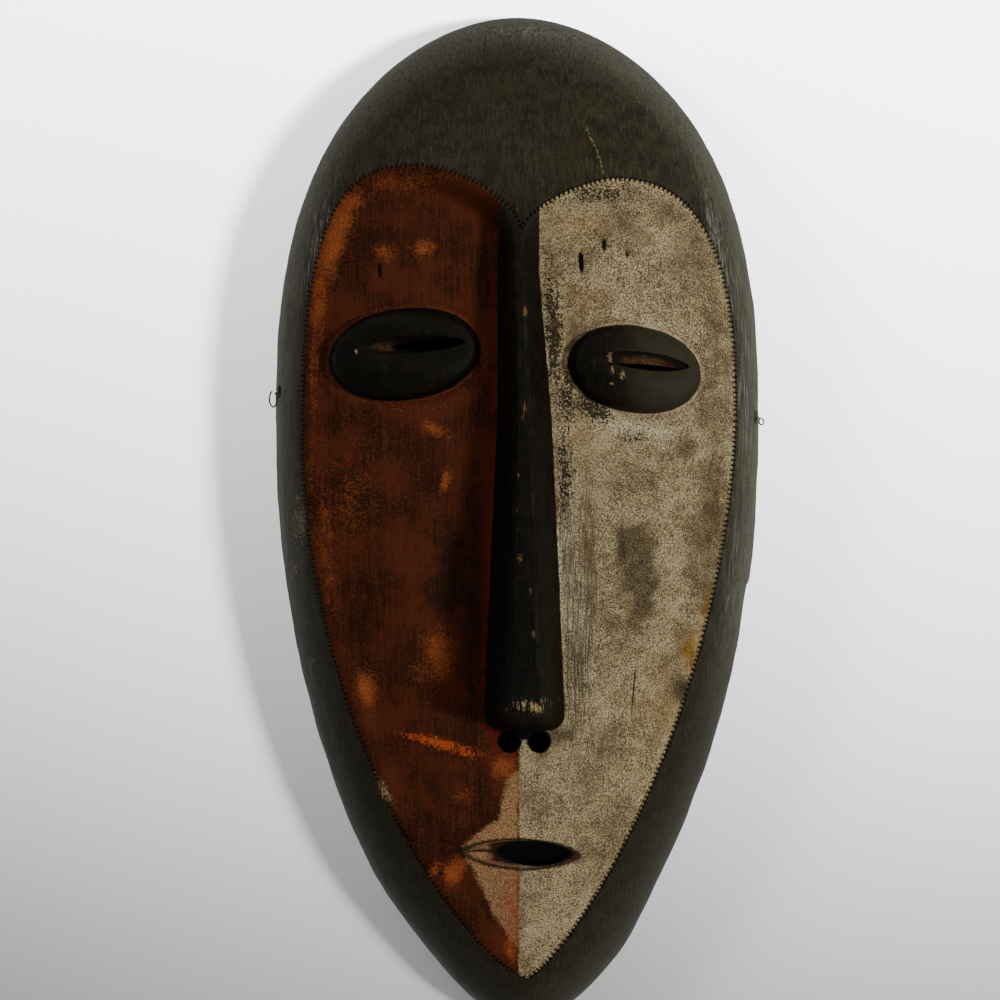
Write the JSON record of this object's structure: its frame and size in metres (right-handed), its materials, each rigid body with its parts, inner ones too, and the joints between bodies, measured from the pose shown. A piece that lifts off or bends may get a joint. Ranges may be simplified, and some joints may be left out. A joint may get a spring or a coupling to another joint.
{
  "type": "carved wooden face mask",
  "caption": "Long egg-shaped hollow wooden face mask with a pointed chin, a shallow two-lobed face, a long nose, slit eyes, an open mouth and a hanging wire.",
  "frame": {"origin": "on the ground under the middle of the mask, which lies on its flat rim with the face up", "axes": "+Z out of the face, +Y along the mask towards the forehead, +X to the viewer's right"},
  "size_m": [0.1935, 0.3999, 0.076],
  "materials": {
    "carved_wood": "painted and worn, satin black with red earth and pale kaolin",
    "wire": "thin iron wire, browned and dull"
  },
  "bodies": {
    "root": {"mask": "carved_wood", "hanging_wire": "wire"}
  },
  "joints": []
}
